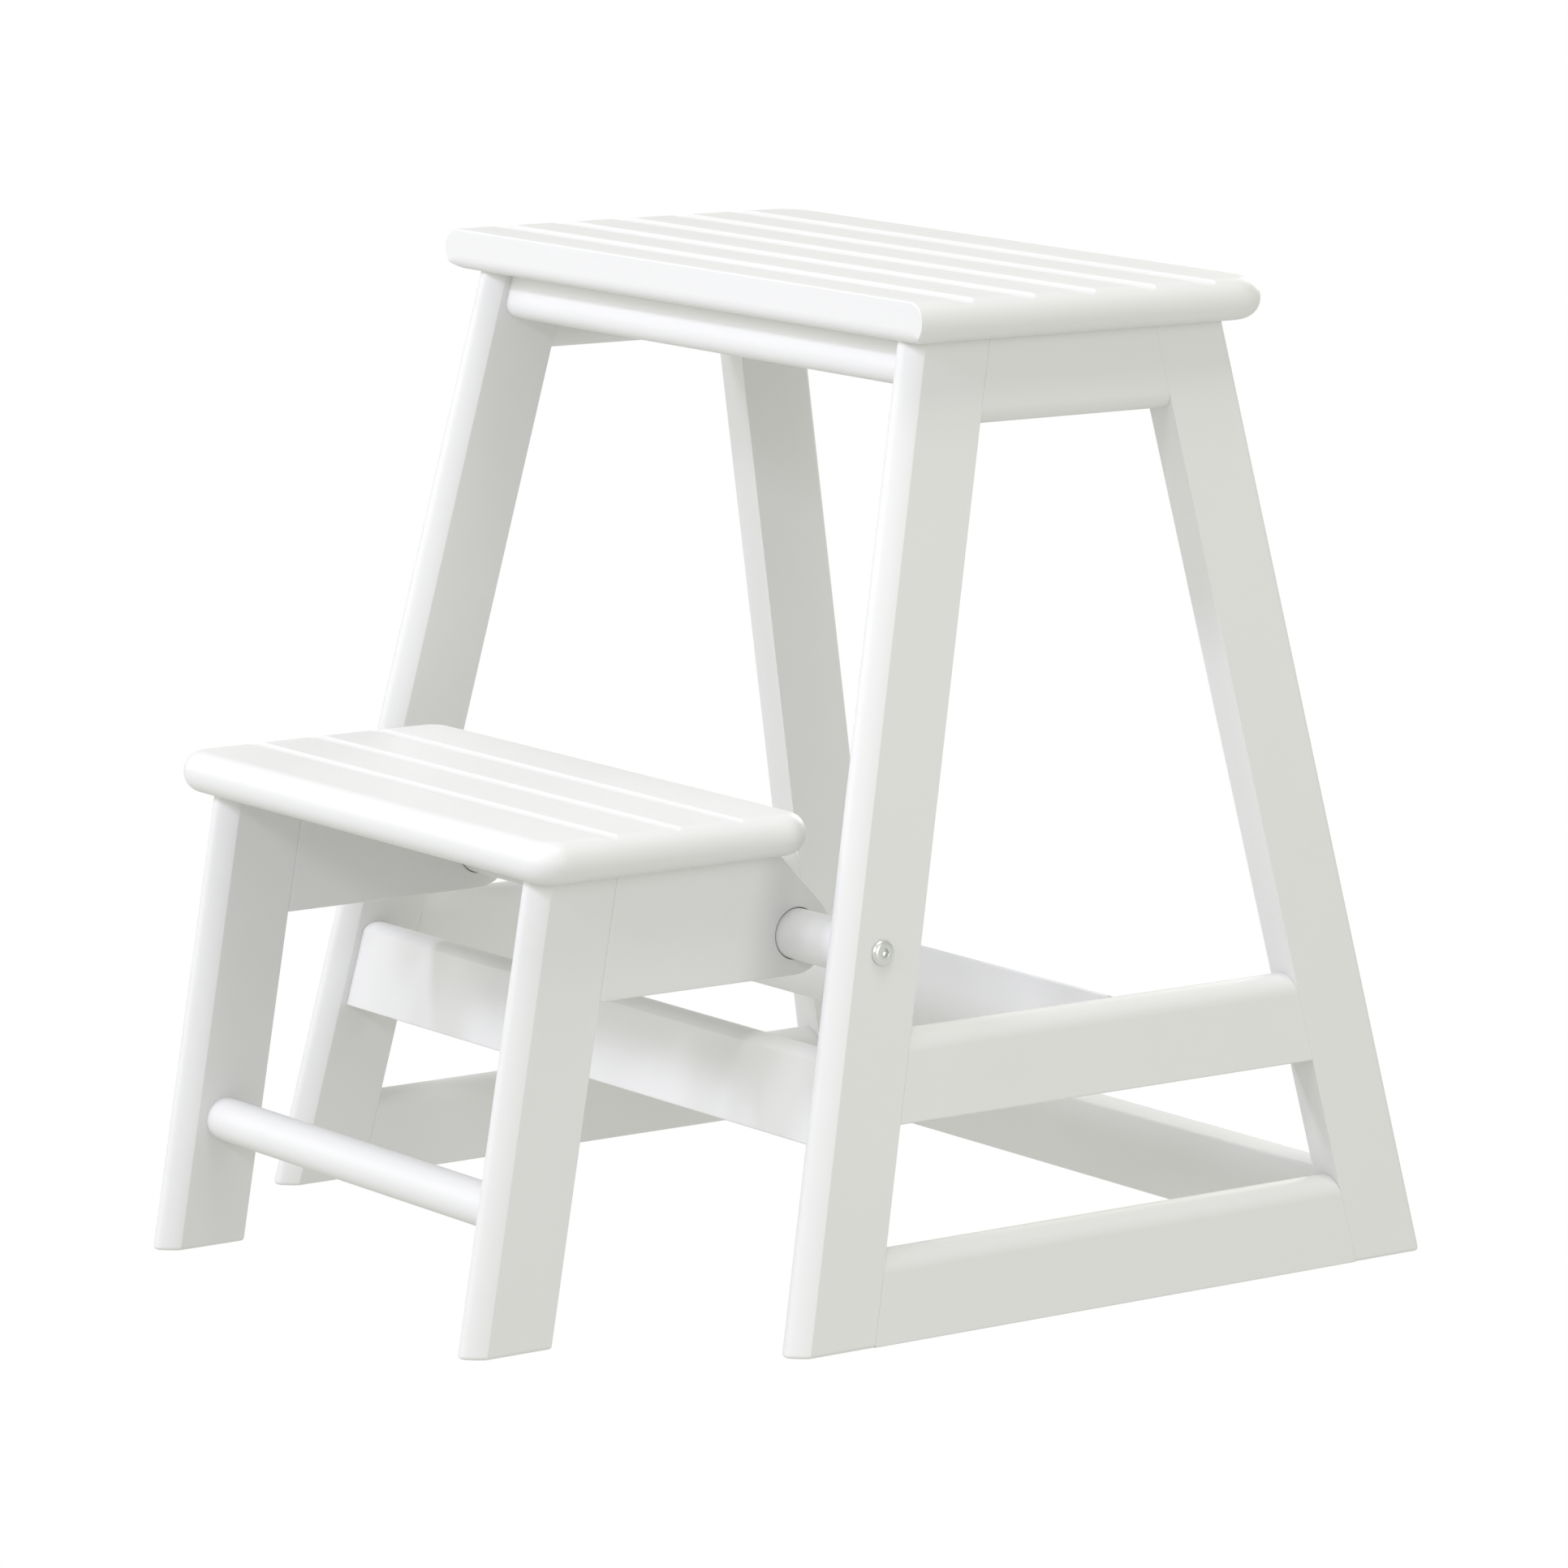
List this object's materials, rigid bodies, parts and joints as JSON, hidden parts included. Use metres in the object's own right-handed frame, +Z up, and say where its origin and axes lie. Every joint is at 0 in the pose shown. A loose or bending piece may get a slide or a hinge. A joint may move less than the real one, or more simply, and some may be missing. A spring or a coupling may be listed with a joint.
{
  "type": "folding step stool chair",
  "caption": "White wooden slatted stool on leaning side frames, with a lower step that swings up and over on a rod to fold away inside the frame.",
  "frame": {"origin": "on the floor, under the middle of the stool with its step down", "axes": "+Z up, +X to the right of someone who stands behind the stool and looks over the step, +Y from the step towards the back"},
  "size_m": [0.4356, 0.5104, 0.48],
  "materials": {
    "white_painted_wood": "satin white paint",
    "bolt_steel": "zinc plated",
    "insert_brass": "turned"
  },
  "bodies": {
    "frame": {"seat_board": "white_painted_wood", "front_leg_left": "white_painted_wood", "front_leg_right": "white_painted_wood", "rear_leg_left": "white_painted_wood", "rear_leg_right": "white_painted_wood", "top_side_rail_left": "white_painted_wood", "top_side_rail_right": "white_painted_wood", "middle_side_rail_left": "white_painted_wood", "middle_side_rail_right": "white_painted_wood", "bottom_side_rail_left": "white_painted_wood", "bottom_side_rail_right": "white_painted_wood", "front_upper_cross_rail": "white_painted_wood", "front_lower_cross_rail": "white_painted_wood", "rear_upper_cross_rail": "white_painted_wood", "rear_foot_cross_rail": "white_painted_wood", "step_rest_rail": "white_painted_wood", "pivot_rod": "white_painted_wood", "pivot_bolt_left": "bolt_steel", "pivot_bolt_right": "bolt_steel", "rod_insert_left": "insert_brass", "rod_insert_right": "insert_brass"},
    "step": {"step_tread": "white_painted_wood", "step_leg_left": "white_painted_wood", "step_leg_right": "white_painted_wood", "step_arm_left": "white_painted_wood", "step_arm_right": "white_painted_wood", "step_rung": "white_painted_wood"}
  },
  "joints": [
    {"name": "step_fold", "type": "hinge", "parent": "frame", "child": "step", "pos_m": [0, -0.07473, 0.1805], "axis": [-1, 0, 0], "range_deg": [0, 171.2]}
  ]
}
